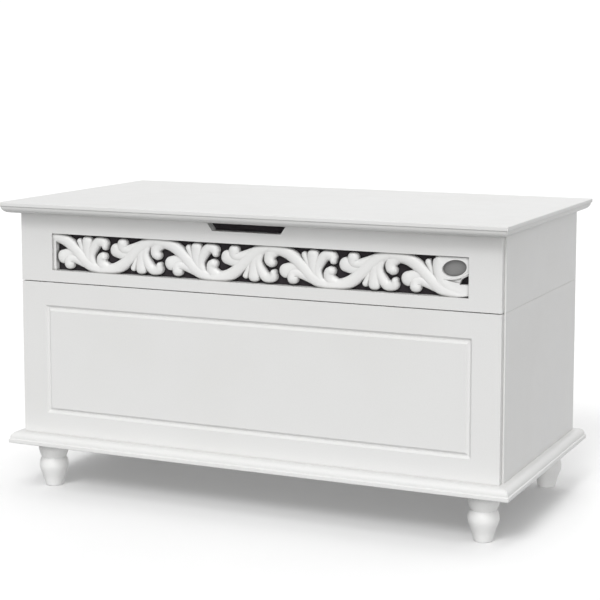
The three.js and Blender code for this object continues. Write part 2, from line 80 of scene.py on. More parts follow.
# Light: soft boxes round the room, as (direction, focus, strength), and two softened lamps, as
# (direction, spread, strength)
SOFT_BOXES = (
    ((0.5, -1, 0.1), 6, 2.56),
    ((-0.35, -1, 0.15), 6, 0.49),
    ((-0.5, -0.5, 0.7), 6, 0.31),
    ((0, 0, 1), 6, 0.90),
    ((1, 0, 0.6), 1, 0.05),
    ((0, 1, 0.1), 1, 1.27),
)
LAMPS = (
    ((0, -0.85, 0.75), math.radians(20), 1.02),
    ((0.12, -0.45, 1), math.radians(26), 0.46),
)
BACKDROP_LIGHT = 1.05
FLOOR_SIZE = 120.0


# ---- Small geometry helpers ----

def arc(centre, radii, start, end, steps):
    """Points on an elliptic arc about a centre, from one angle to another in degrees."""
    angles = [math.radians(start + (end - start) * i / steps) for i in range(steps + 1)]
    return [
        (centre[0] + radii[0] * math.cos(a), centre[1] + radii[1] * math.sin(a))
        for a in angles
    ]


def curve_through(points, steps):
    """A Catmull-Rom curve through points of any dimension, with that many steps a span."""
    vectors = [Vector(p) for p in points]
    ends = [2 * vectors[0] - vectors[1], *vectors, 2 * vectors[-1] - vectors[-2]]
    curve = []
    for a, b, c, d in zip(ends, ends[1:], ends[2:], ends[3:]):
        for i in range(steps):
            t = i / steps
            curve.append(
                0.5 * (2 * b + (c - a) * t + (2 * a - 5 * b + 4 * c - d) * t**2
                       + (3 * b - 3 * c + d - a) * t**3)
            )
    return [*curve, vectors[-1]]


def rounded_rectangle(low, high, radius, steps=3):
    """Points round a rectangle with rounded corners."""
    corners = (
        (high[0] - radius, high[1] - radius, 0), (low[0] + radius, high[1] - radius, 90),
        (low[0] + radius, low[1] + radius, 180), (high[0] - radius, low[1] + radius, 270),
    )
    return [
        point
        for x, y, start in corners
        for point in arc((x, y), (radius, radius), start, start + 90, steps)
    ]


def capsule(start, end, radius, steps=12):
    """Points round a bar shape with round ends. It is a circle where the two points agree."""
    heading = math.degrees(math.atan2(end[1] - start[1], end[0] - start[0]))
    return [
        *arc(end, (radius, radius), heading - 90, heading + 90, steps),
        *arc(start, (radius, radius), heading + 90, heading + 270, steps),
    ]


def smooth_between_edges(bm, sharp_angle):
    """Smooth faces, with the edges sharper than an angle kept."""
    limit = math.radians(sharp_angle)
    for edge in bm.edges:
        edge.smooth = len(edge.link_faces) != 2 or edge.calc_face_angle() < limit
    for face in bm.faces:
        face.smooth = True


def piece_of(name, bm, sharp_angle=50):
    """A mesh object from a bmesh, with its edges sharper than an angle kept."""
    bmesh.ops.remove_doubles(bm, verts=bm.verts, dist=WELD_DISTANCE)
    bmesh.ops.recalc_face_normals(bm, faces=bm.faces)
    smooth_between_edges(bm, sharp_angle)
    mesh = bpy.data.meshes.new(name)
    bm.to_mesh(mesh)
    bm.free()
    made = bpy.data.objects.new(name, mesh)
    bpy.context.scene.collection.objects.link(made)
    return made


def skin(name, rings, sharp_angle=50):
    """A closed solid through rings of equally many points, from its first end to its last."""
    bm = bmesh.new()
    loops = [[bm.verts.new(point) for point in ring] for ring in rings]
    count = len(loops[0])
    for lower, upper in zip(loops, loops[1:]):
        for i in range(count):
            j = (i + 1) % count
            bm.faces.new((lower[i], lower[j], upper[j], upper[i]))
    bm.faces.new(reversed(loops[0]))
    bm.faces.new(loops[-1])
    return piece_of(name, bm, sharp_angle)


def apply_modifiers(piece):
    depsgraph = bpy.context.evaluated_depsgraph_get()
    mesh = bpy.data.meshes.new_from_object(piece.evaluated_get(depsgraph))
    piece.modifiers.clear()
    piece.data = mesh


def shaped(piece, others, operation):
    """The piece with other solids joined to it ("UNION") or cut from it ("DIFFERENCE")."""
    for other in others:
        step = piece.modifiers.new("shape", "BOOLEAN")
        step.operation = operation
        step.solver = "MANIFOLD"
        step.object = other
    apply_modifiers(piece)
    for other in others:
        bpy.data.objects.remove(other)
    return piece


def soften(piece, width, segments=3, angle=35):
    """Rounds the piece's edges, and keeps its flat faces flat in the light."""
    for polygon in piece.data.polygons:
        polygon.use_smooth = True
    bevel = piece.modifiers.new("rounded_edges", "BEVEL")
    bevel.limit_method = "ANGLE"
    bevel.angle_limit = math.radians(angle)
    bevel.width = width
    bevel.segments = segments
    bevel.use_clamp_overlap = True
    return flatten_light(piece)


def shade_by_angle(piece, sharp_angle):
    """Smooths a piece that is already a mesh, with its edges sharper than an angle kept."""
    bm = bmesh.new()
    bm.from_mesh(piece.data)
    smooth_between_edges(bm, sharp_angle)
    bm.to_mesh(piece.data)
    bm.free()


def flatten_light(piece):
    """Weighs the normals by face area, so that wide flat faces stay flat in the light."""
    normals = piece.modifiers.new("face_normals", "WEIGHTED_NORMAL")
    normals.keep_sharp = True
    return piece


def block(name, low, high):
    """A box between two corners, as a solid to round, join or cut."""
    ring = [(low[0], low[1]), (high[0], low[1]), (high[0], high[1]), (low[0], high[1])]
    return skin(name, [[(x, y, z) for x, y in ring] for z in (low[2], high[2])])


def prism(name, section, axis, start, length, sharp_angle=50):
    """A solid with one section of (a, b) points, from a point along an axis."""
    rings = [[Vector(start) + AXES[axis](a, b, h) for a, b in section] for h in (0, length)]
    return skin(name, rings, sharp_angle)


def turned(name, profile, axis, start, segments=32, sharp_angle=50):
    """A solid of (radius, height) pairs turned about an axis through a point."""
    rings = []
    for radius, height in profile:
        circle = arc((0, 0), (radius, radius), 0, 360, segments)[:-1]
        rings.append([Vector(start) + AXES[axis](a, b, height) for a, b in circle])
    return skin(name, rings, sharp_angle)


def turned_upright(name, node, profile, segments, sharp_angle=50):
    """A solid turned about the vertical through a CAD node's middle, from its lowest point up."""
    low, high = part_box(node)
    middle = (low + high) / 2
    return turned(name, profile, "z", (middle.x, middle.y, low.z), segments, sharp_angle)


def rod(name, axis, radius, start, length, segments=32):
    """A round bar from a point along an axis, as a solid to join or cut."""
    return turned(name, [(radius, 0), (radius, length)], axis, start, segments)


# ---- Materials ----

# Where a Mix node keeps its colour sockets: those for numbers and vectors come before them.
MIX_FIRST_COLOUR = 6
MIX_SECOND_COLOUR = 7
MIX_COLOUR_RESULT = 2


def add_node(tree, kind, **settings):
    """A node with each setting put on its input of that name, or else on the node itself."""
    node = tree.nodes.new(kind)
    for key, value in settings.items():
        if key in node.inputs:
            node.inputs[key].default_value = value
        else:
            setattr(node, key, value)
    return node


def noise(tree, scale, detail=3.0, stretch=(1, 1, 1)):
    """Noise in the frame's own metres: scale is its features per metre."""
    place = tree.nodes.new("ShaderNodeTexCoord")
    mapping = add_node(tree, "ShaderNodeMapping", Scale=stretch)
    texture = add_node(tree, "ShaderNodeTexNoise", Scale=scale, Detail=detail)
    tree.links.new(place.outputs["Object"], mapping.inputs["Vector"])
    tree.links.new(mapping.outputs["Vector"], texture.inputs["Vector"])
    return texture.outputs["Fac"]


def ramp(tree, factor, stops):
    """A factor turned into colours: stops are (position, colour) pairs."""
    node = tree.nodes.new("ShaderNodeValToRGB")
    elements = node.color_ramp.elements
    while len(elements) < len(stops):
        elements.new(0.5)
    for element, (position, colour) in zip(elements, stops):
        element.position = position
        element.color = (*colour, 1)
    tree.links.new(factor, node.inputs["Fac"])
    return node.outputs["Color"]


def span(tree, factor, low, high):
    """A factor from 0 to 1 mapped to values from low to high."""
    node = add_node(tree, "ShaderNodeMapRange")
    node.inputs["To Min"].default_value = low
    node.inputs["To Max"].default_value = high
    tree.links.new(factor, node.inputs["Value"])
    return node.outputs["Result"]


def multiply(tree, first, second):
    """One colour times another."""
    node = add_node(tree, "ShaderNodeMix", data_type="RGBA", blend_type="MULTIPLY", Factor=1.0)
    tree.links.new(first, node.inputs[MIX_FIRST_COLOUR])
    tree.links.new(second, node.inputs[MIX_SECOND_COLOUR])
    return node.outputs[MIX_COLOUR_RESULT]


def bumps(tree, layers):
    """A normal from layers of (height, depth in metres), the broadest first."""
    normal = None
    for height, depth in layers:
        node = add_node(tree, "ShaderNodeBump", Strength=1.0, Distance=depth)
        tree.links.new(height, node.inputs["Height"])
        if normal:
            tree.links.new(normal, node.inputs["Normal"])
        normal = node.outputs["Normal"]
    return normal


def new_material(name):
    material = bpy.data.materials.new(name)
    material.use_nodes = True
    tree = material.node_tree
    return material, tree, tree.nodes["Principled BSDF"]


def painted_crease_shade(tree, reach, dark):
    """Painted shade: a tone that is white in the open and falls to dark in creases narrower than
    reach.
    """
    node = add_node(tree, "ShaderNodeAmbientOcclusion", Distance=reach, samples=8)
    tone = (dark, dark * 0.99, dark * 0.97)
    return ramp(tree, node.outputs["AO"], [(0.35, tone), (0.9, (1, 1, 1))])


def paint(name, tone, crease_reach, crease_dark):
    """Sprayed satin lacquer on smooth board: fine orange peel, faint waves, painted crease shade.

    Its tone is how much light it throws back, and painted shade darkens its creases to crease_dark
    times that.
    """
    material, tree, shader = new_material(name)
    tint = ramp(tree, noise(tree, 5, 4), [
        (0.30, (0.978 * tone, 0.976 * tone, 0.962 * tone)), (0.55, (tone, tone, 0.990 * tone)),
        (0.80, (0.988 * tone, 0.988 * tone, 0.983 * tone)),
    ])
    speck = ramp(tree, noise(tree, 420, 2), [(0.30, (0.985, 0.984, 0.982)), (0.55, (1, 1, 1))])
    # Painted shade: ambient occlusion darkens the colour in creases and seams.
    creases = painted_crease_shade(tree, crease_reach, crease_dark)
    colour = multiply(tree, multiply(tree, tint, speck), creases)
    tree.links.new(colour, shader.inputs["Base Color"])
    sheen_patches = noise(tree, 38, 5)
    tree.links.new(span(tree, sheen_patches, 0.34, 0.50), shader.inputs["Roughness"])
    normal = bumps(tree, [
        (noise(tree, 14, 2), 0.16 * MM),
        (noise(tree, 60, 2, (0.35, 1, 1)), 0.020 * MM),
        (noise(tree, 620, 3), 0.016 * MM),
    ])
    tree.links.new(normal, shader.inputs["Normal"])
    shader.inputs["Specular IOR Level"].default_value = 0.45
    shader.inputs["Coat Weight"].default_value = 0.12
    shader.inputs["Coat Roughness"].default_value = 0.30
    return material


def white_paint():
    """The paint of the boards, with faint painted shade in their narrow creases."""
    return paint("white_paint", 0.69, 2 * MM, 0.92)


def carved_paint():
    """The paint of the carving, paler than the boards' to stand in for light, with strong painted
    shade in its creases.
    """
    return paint("carved_paint", 0.755, 6 * MM, 0.28)


def base_paint():
    """Painted light: the base's paint is a little paler, standing in for the light from the floor.
    """
    return paint("base_paint", 0.71, MM, 0.95)


def foot_paint():
    """Painted light and shade: the feet's paint is paler still, for the light from the floor, with
    painted shade in the neck and up under the base.
    """
    return paint("foot_paint", 0.85, 24 * MM, 0.05)


def lid_paint():
    """The paint of the lid, a touch darker than the boards', with painted shade up under its
    moulding.
    """
    return paint("lid_paint", 0.67, 14 * MM, 0.5)


def shaded_paint():
    """Painted shade: a dark grey tone inside the hollow eye, with more painted shade in its
    creases.
    """
    return paint("shaded_paint", 0.20, 12 * MM, 0.35)


def dark_felt():
    """Short dark pile: mottled fibres in three directions."""
    material, tree, shader = new_material("dark_backing")
    colour = ramp(tree, noise(tree, 900, 6), [
        (0.30, (0.018, 0.016, 0.018)), (0.62, (0.036, 0.031, 0.035)),
        (0.85, (0.060, 0.054, 0.060)),
    ])
    tree.links.new(colour, shader.inputs["Base Color"])
    tree.links.new(span(tree, noise(tree, 300, 3), 0.85, 1.0), shader.inputs["Roughness"])
    stretches = ((9, 1, 1), (1, 1, 9), (3, 1, 3))
    layers = [(noise(tree, 160, 4, stretch), 0.25 * MM) for stretch in stretches]
    tree.links.new(bumps(tree, layers), shader.inputs["Normal"])
    shader.inputs["Specular IOR Level"].default_value = 0.15
    shader.inputs["Sheen Weight"].default_value = 0.05
    return material


def zinc_steel():
    """Bright zinc plated steel with rolling lines, a slightly cloudy passivation and painted shade
    in its creases.
    """
    material, tree, shader = new_material("steel")
    colour = ramp(tree, noise(tree, 45, 4), [
        (0.30, (0.50, 0.51, 0.52)), (0.55, (0.60, 0.61, 0.61)), (0.80, (0.66, 0.65, 0.62)),
    ])
    # Painted shade in the steel's creases.
    shade = multiply(tree, colour, painted_crease_shade(tree, 2 * MM, 0.55))
    tree.links.new(shade, shader.inputs["Base Color"])
    lines = noise(tree, 220, 4, (1, 12, 12))
    tree.links.new(span(tree, lines, 0.24, 0.44), shader.inputs["Roughness"])
    layers = [(lines, 0.012 * MM), (noise(tree, 300, 3), 0.02 * MM)]
    tree.links.new(bumps(tree, layers), shader.inputs["Normal"])
    shader.inputs["Metallic"].default_value = 1.0
    return material


def pale_rubber():
    """Soft, slightly milky bumper rubber with a matt skin."""
    material, tree, shader = new_material("rubber")
    colour = ramp(tree, noise(tree, 240, 4), [(0.3, (0.56, 0.56, 0.54)), (0.7, (0.66, 0.66, 0.64))])
    tree.links.new(colour, shader.inputs["Base Color"])
    tree.links.new(span(tree, noise(tree, 700, 3), 0.5, 0.75), shader.inputs["Roughness"])
    tree.links.new(bumps(tree, [(noise(tree, 900, 3), 0.03 * MM)]), shader.inputs["Normal"])
    return material


def floor_paper():
    """Plain pale studio paper."""
    material, tree, shader = new_material("floor_paper")
    colour = ramp(tree, noise(tree, 2.5, 3), [(0.3, (0.965,) * 3), (0.7, (0.985,) * 3)])
    tree.links.new(colour, shader.inputs["Base Color"])
    shader.inputs["Roughness"].default_value = 1.0
    shader.inputs["Specular IOR Level"].default_value = 0.0
    return material


MATERIALS = {
    "white_paint": white_paint(),
    "dark_backing": dark_felt(),
    "steel": zinc_steel(),
    "rubber": pale_rubber(),
}


def stand_for(piece, node, slot, finish=None):
    """The piece takes a CAD node's place: its body, its material slot and its finish."""
    piece.data.materials.clear()
    piece.data.materials.append(finish or MATERIALS[slot])
    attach(piece, BODY_OF[node])
    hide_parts(node)
    return piece


# ---- Boards ----

BOARD_EDGE = 0.45 * MM
MITRE_RADIUS = 0.6 * MM
SIDE_EDGE = 0.3 * MM
SUNK = 0.5 * MM                # how far a board that stands on another one reaches into it
LIP_REACH = 4 * MM
SIDE_SEAM_FILL = 0.95 * MM     # how far the lower side boards rise, nearly to the upper ones
FRONT_SEAM_SHADE = 0.4 * MM    # how far the front seam is opened, so that it reads as a dark line

# A side board's chamfered top, as inset and drop, from its outer face to its top.
TOP_CHAMFER = ((0, 1.2 * MM), (0.25 * MM, 0.6 * MM), (0.7 * MM, 0.2 * MM), (1.2 * MM, 0))

# The routed line: its walls slope to a flat floor, and its rims are eased.
GROOVE_FROM_SIDES = 43.5 * MM
GROOVE_FROM_BOTTOM = 33.7 * MM
GROOVE_FROM_TOP = 37.5 * MM
GROOVE_WIDTH = 8.5 * MM
GROOVE_DEPTH = 3 * MM
GROOVE_SLOPE = 3 * MM
GROOVE_RIM = 0.4 * MM
GROOVE_RIM_FALL = 0.3 * GROOVE_RIM


def moulded_board(name, node, profile, finish=None):
    """A board with one moulding on all four edges: profile holds (inset, height) pairs."""
    low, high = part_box(node)
    rings = []
    for inset, height in profile:
        ring = rounded_rectangle(
            (low.x + inset, low.y + inset), (high.x - inset, high.y - inset), MITRE_RADIUS
        )
        rings.append([(x, y, height) for x, y in ring])
    piece = flatten_light(skin(name, rings, sharp_angle=28))
    return stand_for(piece, node, "white_paint", finish)


def make_lid():
    """A square lip over a quarter round."""
    low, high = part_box("lid_board")
    lip_under = high.z - 6 * MM
    lip_inset = 2 * MM
    hollow = 0.5 * MM
    cove = (14 * MM, lip_under - MM - low.z)
    edge = 1.3 * MM
    under_edge = 0.5 * MM
    profile = [
        *arc((lip_inset + cove[0], low.z + cove[1]), cove, 270, 180, 16),
        (lip_inset, lip_under - hollow), (lip_inset - 0.2 * MM, lip_under),
        *arc((under_edge, lip_under + under_edge), (under_edge, under_edge), 270, 180, 3),
        *arc((edge, high.z - edge), (edge, edge), 180, 90, 5),
        (edge + 4 * MM, high.z),
    ]
    return moulded_board("lid", "lid_board", profile, lid_paint())


def make_base():
    """A small upright bead under an ovolo."""
    low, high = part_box("base_board")
    bead_edge = 1.2 * MM
    bead_height = 6.6 * MM
    ovolo = (10.3 * MM, 9.5 * MM)
    step_inset = 1.7 * MM
    profile = [
        (bead_edge + 3 * MM, low.z),
        *arc((bead_edge, low.z + bead_edge), (bead_edge, bead_edge), 270, 180, 4),
        *arc((bead_edge, low.z + bead_height - bead_edge), (bead_edge, bead_edge), 180, 110, 4),
        (step_inset, low.z + bead_height + 0.7 * MM),
        *arc((step_inset + ovolo[0], high.z - ovolo[1]), ovolo, 180, 90, 16),
        (step_inset + ovolo[0] + 5 * MM, high.z),
    ]
    return moulded_board("base", "base_board", profile, base_paint())


def make_plain_board(name, node, sunk=0.0):
    """A board with softened edges. One that stands on the base has its lower edge out of sight."""
    low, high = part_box(node)
    piece = soften(block(name, low - Vector((0, 0, sunk)), high), BOARD_EDGE)
    return stand_for(piece, node, "white_paint")


def make_side_board(name, node, front_node, end, sunk=0.0, raised=0.0):
    """A side board with a chamfered top and a narrow lip forward, past the front board's end."""
    low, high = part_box(node)
    front_low, front_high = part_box(front_node)
    outer, inner = (high.x, low.x) if end > 0 else (low.x, high.x)
    lip = front_high.x if end > 0 else front_low.x
    lip_y = low.y - LIP_REACH
    top = high.z + raised
    levels = [(0, low.z - sunk), *((inset, top - drop) for inset, drop in TOP_CHAMFER)]
    rings = []
    for inset, z in levels:
        edge = outer - end * inset
        section = [(inner, high.y), (edge, high.y), (edge, lip_y), (lip, lip_y), (lip, low.y),
                   (inner, low.y)]
        rings.append([(x, y, z) for x, y in section])
    return stand_for(soften(skin(name, rings), SIDE_EDGE), node, "white_paint")


def make_boards():
    """The side boards, the corner posts and the back boards."""
    for end, word in ENDS:
        make_side_board(
            f"lower_side_{word}", f"side_panel_{word}", "front_panel", end, SUNK, SIDE_SEAM_FILL
        )
        make_side_board(f"upper_side_{word}", f"frieze_side_{word}", "frieze_front", end)
        for row in ("front", "back"):
            make_plain_board(f"post_{row}_{word}", f"corner_post_{row}_{word}", SUNK)
    make_plain_board("lower_back", "back_panel", SUNK)
    make_plain_board("upper_back", "frieze_back")


def make_front():
    """The lower front board with its routed frame line."""
    low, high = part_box("front_panel")
    groove_low = Vector((low.x + GROOVE_FROM_SIDES, low.z + GROOVE_FROM_BOTTOM))
    groove_high = Vector((high.x - GROOVE_FROM_SIDES, high.z - GROOVE_FROM_TOP))
    board_low = Vector((low.x, low.z - SUNK))
    board_high = Vector((high.x, high.z - FRONT_SEAM_SHADE))
    rounding = (BOARD_EDGE, BOARD_EDGE)
    board_edges = [
        *arc((BOARD_EDGE, high.y - BOARD_EDGE), rounding, 90, 180, 3),
        *arc((BOARD_EDGE, low.y + BOARD_EDGE), rounding, 180, 270, 3),
    ]
    wall = [
        (-GROOVE_RIM, 0), (0, GROOVE_RIM_FALL),
        (GROOVE_SLOPE, GROOVE_DEPTH - GROOVE_RIM_FALL), (GROOVE_SLOPE + GROOVE_RIM, GROOVE_DEPTH),
    ]
    groove = wall + [(GROOVE_WIDTH - inset, sunk) for inset, sunk in reversed(wall)]

    def ring(corner_low, corner_high, inset, y):
        margin = Vector((inset, inset))
        outline = rounded_rectangle(corner_low + margin, corner_high - margin, MITRE_RADIUS)
        return [(x, y, z) for x, z in outline]

    rings = [ring(board_low, board_high, inset, y) for inset, y in board_edges]
    rings += [ring(groove_low, groove_high, inset, low.y + sunk) for inset, sunk in groove]
    piece = flatten_light(skin("lower_front", rings, sharp_angle=60))
    return stand_for(piece, "front_panel", "white_paint")


# ---- Frieze ----

# The opening that the fretwork stands in, as X and Z: it clears the fretwork all round.
OPENING_CLEARANCE = Vector((0.3 * MM, 0.3 * MM))
OPENING_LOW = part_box("fretwork")[0].xz - OPENING_CLEARANCE
OPENING_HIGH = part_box("fretwork")[1].xz + OPENING_CLEARANCE


def make_frieze():
    """The upper front board with the fretwork's opening and the finger notch."""
    low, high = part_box("frieze_front")
    reach = 5 * MM
    start = (0, low.y - reach, 0)
    through = high.y - low.y + 2 * reach
    corners = rounded_rectangle(OPENING_LOW, OPENING_HIGH, 0.5 * MM)
    opening = prism("opening", corners, "y", start, through)
    top_half, bottom_half, depth = 67 * MM, 57.5 * MM, 14 * MM
    lean = (top_half - bottom_half) / depth * reach
    notch = prism("notch", [
        (-bottom_half, high.z - depth), (bottom_half, high.z - depth),
        (top_half + lean, high.z + reach), (-top_half - lean, high.z + reach),
    ], "y", start, through)
    board = shaped(block("upper_front", low, high), [opening, notch], "DIFFERENCE")
    return stand_for(soften(board, BOARD_EDGE), "frieze_front", "white_paint")


# ---- Fretwork: a running acanthus scroll, carved in relief ----

WAVE_COUNT = 7
FIRST_CREST = OPENING_LOW.x - 7.5 * MM
LAST_TROUGH = OPENING_HIGH.x - 20.8 * MM
HALF_WAVE = (LAST_TROUGH - FIRST_CREST) / WAVE_COUNT
FRET_GAP = 0.05 * MM
FRET_WALL = 0.32                # height of a stroke's upright walls, as a share of the thickness
CROWN_FULLNESS = 0.80           # 1 is a round crown, less is a flatter one with rounder shoulders

# Strokes of one half wave about a trough at (0, 0), in millimetres: [along, up, half width].
# Each has its crown heights at the start and the end, as shares of the fret's thickness.
STEM = ([(-98, 54.5, 9.5), (-78, 52, 9.5), (-62, 44, 9.4), (-47, 31.2, 9.8), (-33, 18, 10),
         (-17, 8, 9.5), (2, 2.5, 8.5)], 0.92, 0.88)
SMALL_LEAF = ([(-34, 24, 1.5), (-38.2, 37, 3.9), (-42.6, 48, 5)], 0.68, 0.8)
TALL_LEAF = ([(-19, 8, 6), (-26, 24, 8.6), (-28, 38, 9.4), (-28.6, 47.8, 9.8)], 0.78, 0.88)
HOOK = ([(-15, 8, 7), (-21.4, 24, 7.2), (-17.4, 38, 7.8), (-8, 48.6, 8.2), (2.2, 47.4, 8),
         (4.2, 41, 5.2)], 0.8, 1.0)
CURL = ([(24, 7, 6), (9, 8, 8), (-1.2, 14, 9), (-2.8, 22.3, 8.6), (0.6, 26, 7.4)], 0.8, 1.0)
LOWER_LOBE = ([(24.2, 37, 11), (36, 32.5, 9.6), (54, 29, 8)], 0.84, 0.7)
UPPER_LOBE = ([(35.8, 47.8, 9), (36.8, 41.5, 9.4), (44, 39, 7.6), (56, 43, 6.8), (72, 49.5, 6.6)],
              1.0, 0.7)
LEAVES = (TALL_LEAF, HOOK, CURL, LOWER_LOBE, UPPER_LOBE)

# The first scroll starts from a low border strip.
BORDER_WIDTH = 5.5 * MM
BORDER_SHARE = 0.85

# The last scroll closes round an oval eye.
END_STROKES = (
    ([(-26.5, 54, 6), (-27.2, 49, 9), (-26.2, 36, 9.6), (-18.5, 20, 10.4), (-4, 11.5, 11.4),
      (12, 8, 11), (30, 7, 11)], 0.95, 0.8),
    ([(-17, 25.5, 1.6), (-4, 26.4, 3), (8, 29.8, 3.4), (22, 37, 2.4)], 0.92, 1.0),
)
END_PLATE = [(-27, 57.8), (-31, 53), (-31, 40), (-28, 24), (-20, 8), (-5, -2), (24, -2),
             (24, 57.8)]
END_PLATE_SHARE = 0.84
END_GAP = [(6, 18.5), (24, 18.5), (24, 33.5), (17, 31), (9.5, 27), (6.5, 23)]
END_WEDGE = [(-14, 24), (-2, 24.6), (8.5, 28), (7.5, 20.5), (-2, 21.5)]
END_WEDGE_SHARE = 0.66
END_SLIVER = [(4, -2), (24, -2), (24, 3.2), (19, 3.1), (11, 1.4), (4, 0.6)]
EYE_MIDDLE = Vector((-2, 41.7))
EYE_RADII = (18.6, 11.8)
EYE_TILT = math.radians(12)
EYE_DEPTH = 7.5 * MM


def stroke_section(half_width, crown, wall, steps=18):
    """Half width and height pairs round a stroke's section: flat back, walls, round crown."""
    crown_points = [
        (-half_width * math.cos(math.pi * i / steps),
         wall + (crown - wall) * math.sin(math.pi * i / steps) ** CROWN_FULLNESS)
        for i in range(steps + 1)
    ]
    return [(-half_width, 0), *crown_points, (half_width, 0)]


def stroke_rings(points, crown_start, crown_end, thickness):
    """Rings of one stroke in (along, up, height): its ends are rounded like its sides."""
    line = curve_through([(x * MM, z * MM, w * MM) for x, z, w in points], 6)
    count = len(line) - 1
    wall = FRET_WALL * thickness
    rings = []

    def ring(centre, heading, width, crown):
        side = Vector((-heading.y, heading.x))
        section = stroke_section(width, crown, min(wall, crown))
        return [(*(centre + side * a), h) for a, h in section]

    def end_rings(centre, heading, width, crown, turns):
        for turn in turns:
            reach = width * math.sin(turn)
            share = math.cos(turn)
            yield ring(centre + heading * reach, heading, width * share,
                       wall + (crown - wall) * share)

    turns = [math.radians(a) for a in (84, 72, 58, 44, 30, 15)]
    headings = []
    for i in range(count + 1):
        step = line[min(i + 1, count)] - line[max(i - 1, 0)]
        headings.append(Vector(step[:2]).normalized())
    crowns = [
        thickness * (crown_start + (crown_end - crown_start) * i / count)
        for i in range(count + 1)
    ]
    first, last = Vector(line[0][:2]), Vector(line[-1][:2])
    rings += end_rings(first, headings[0], line[0].z, crowns[0], [-t for t in turns])
    for point, heading, crown in zip(line, headings, crowns):
        rings.append(ring(Vector(point[:2]), heading, point.z, crown))
    rings += end_rings(last, headings[-1], line[-1].z, crowns[-1], reversed(turns))
    return rings


def crest_or_trough(index):
    """A function from (along, up) about half wave number index to the frame's X and Z."""
    centre = FIRST_CREST + HALF_WAVE * index
    if index % 2 == 1:
        return lambda x, z: (centre + x, OPENING_LOW.y + z)
    return lambda x, z: (centre + x, OPENING_HIGH.y - z)


def place_stroke(stroke, index, y_back, thickness):
    """A stroke on half wave number index: every second one is mirrored top to bottom."""
    to_frame = crest_or_trough(index)
    rings = []
    for ring in stroke_rings(*stroke, thickness):
        spots = [(*to_frame(x, z), h) for x, z, h in ring]
        rings.append([(x, y_back - h, z) for x, z, h in spots])
    return skin("stroke", rings)


def end_prism(name, points, y_start, length):
    """A prism towards the front from points about the last trough, in millimetres."""
    to_frame = crest_or_trough(WAVE_COUNT)
    section = [to_frame(x * MM, z * MM) for x, z in points]
    return prism(name, section, "-y", (0, y_start, 0), length)


def eye_outline(margin):
    """The oval of the eye, tilted up to the right."""
    turn_cos, turn_sin = math.cos(EYE_TILT), math.sin(EYE_TILT)
    oval = arc((0, 0), (EYE_RADII[0] + margin, EYE_RADII[1] + margin), 0, 360, 64)[:-1]
    return [
        (EYE_MIDDLE.x + a * turn_cos - b * turn_sin, EYE_MIDDLE.y + a * turn_sin + b * turn_cos)
        for a, b in oval
    ]


def eye_rings(y_back, layers):
    """Rings of the eye's oval: layers are (margin in millimetres, height above the back)."""
    to_frame = crest_or_trough(WAVE_COUNT)
    rings = []
    for margin, height in layers:
        spots = [to_frame(x * MM, z * MM) for x, z in eye_outline(margin)]
        rings.append([(x, y_back - height, z) for x, z in spots])
    return rings


def end_scroll_cutters(y_back, thickness):
    """The two small gaps, and the oval with its rounded rim."""
    behind, through = y_back + 5 * MM, thickness + 10 * MM
    gaps = [end_prism("gap", points, behind, through) for points in (END_GAP, END_SLIVER)]
    gaps.append(end_prism("wedge", END_WEDGE, y_back - END_WEDGE_SHARE * thickness, thickness))
    rim = 0.78 * thickness
    flare = 2.2
    curve = arc((flare, rim), (flare, flare * MM), 180, 90, 5)
    layers = [(0, -5 * MM), *curve, (flare, thickness + 5 * MM)]
    return [*gaps, skin("oval", eye_rings(y_back, layers))]


def make_eye(y_back, thickness):
    """The hollow of the eye: a shallow dished disc deep inside the oval."""
    floor = thickness - EYE_DEPTH
    layers = [
        (0.5, 0), (0.5, floor), (-1.5, floor), (-4, floor - 0.5 * MM), (-7, floor - 0.8 * MM),
    ]
    eye = skin("scroll_eye", eye_rings(y_back, layers), 60)
    # The eye's grey is painted shade.
    eye.data.materials.append(shaded_paint())
    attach(eye, BODY_OF["fretwork"])


def make_fretwork():
    """The carved scroll: all its strokes joined, opened at its end, and trimmed to the opening."""
    low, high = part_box("fretwork")
    thickness = high.y - low.y
    parts = [place_stroke(s, 0, high.y, thickness) for s in (LOWER_LOBE, UPPER_LOBE)]
    for index in range(1, WAVE_COUNT + 1):
        strokes = (STEM, SMALL_LEAF, *(LEAVES if index < WAVE_COUNT else END_STROKES))
        parts += [place_stroke(s, index, high.y, thickness) for s in strokes]
    parts.append(end_prism("plate", END_PLATE, high.y, END_PLATE_SHARE * thickness))
    parts.append(block(
        "border",
        (OPENING_LOW.x, high.y - BORDER_SHARE * thickness, OPENING_LOW.y),
        (OPENING_LOW.x + BORDER_WIDTH, high.y, OPENING_HIGH.y),
    ))
    fret = shaped(parts[0], parts[1:], "UNION")
    shaped(fret, end_scroll_cutters(high.y, thickness), "DIFFERENCE")
    window = block(
        "window",
        (OPENING_LOW.x + FRET_GAP, low.y - 5 * MM, OPENING_LOW.y + FRET_GAP),
        (OPENING_HIGH.x - FRET_GAP, high.y + 5 * MM, OPENING_HIGH.y - FRET_GAP),
    )
    shaped(fret, [window], "INTERSECT")
    fret.name = "scroll_fret"
    shade_by_angle(fret, 32)
    stand_for(fret, "fretwork", "white_paint", carved_paint())
    make_eye(high.y, thickness)


def make_backing():
    """The dark board behind the fretwork."""
    piece = soften(block("felt_backing", *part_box("fret_backing")), 0.8 * MM)
    return stand_for(piece, "fret_backing", "dark_backing")


# ---- Feet ----

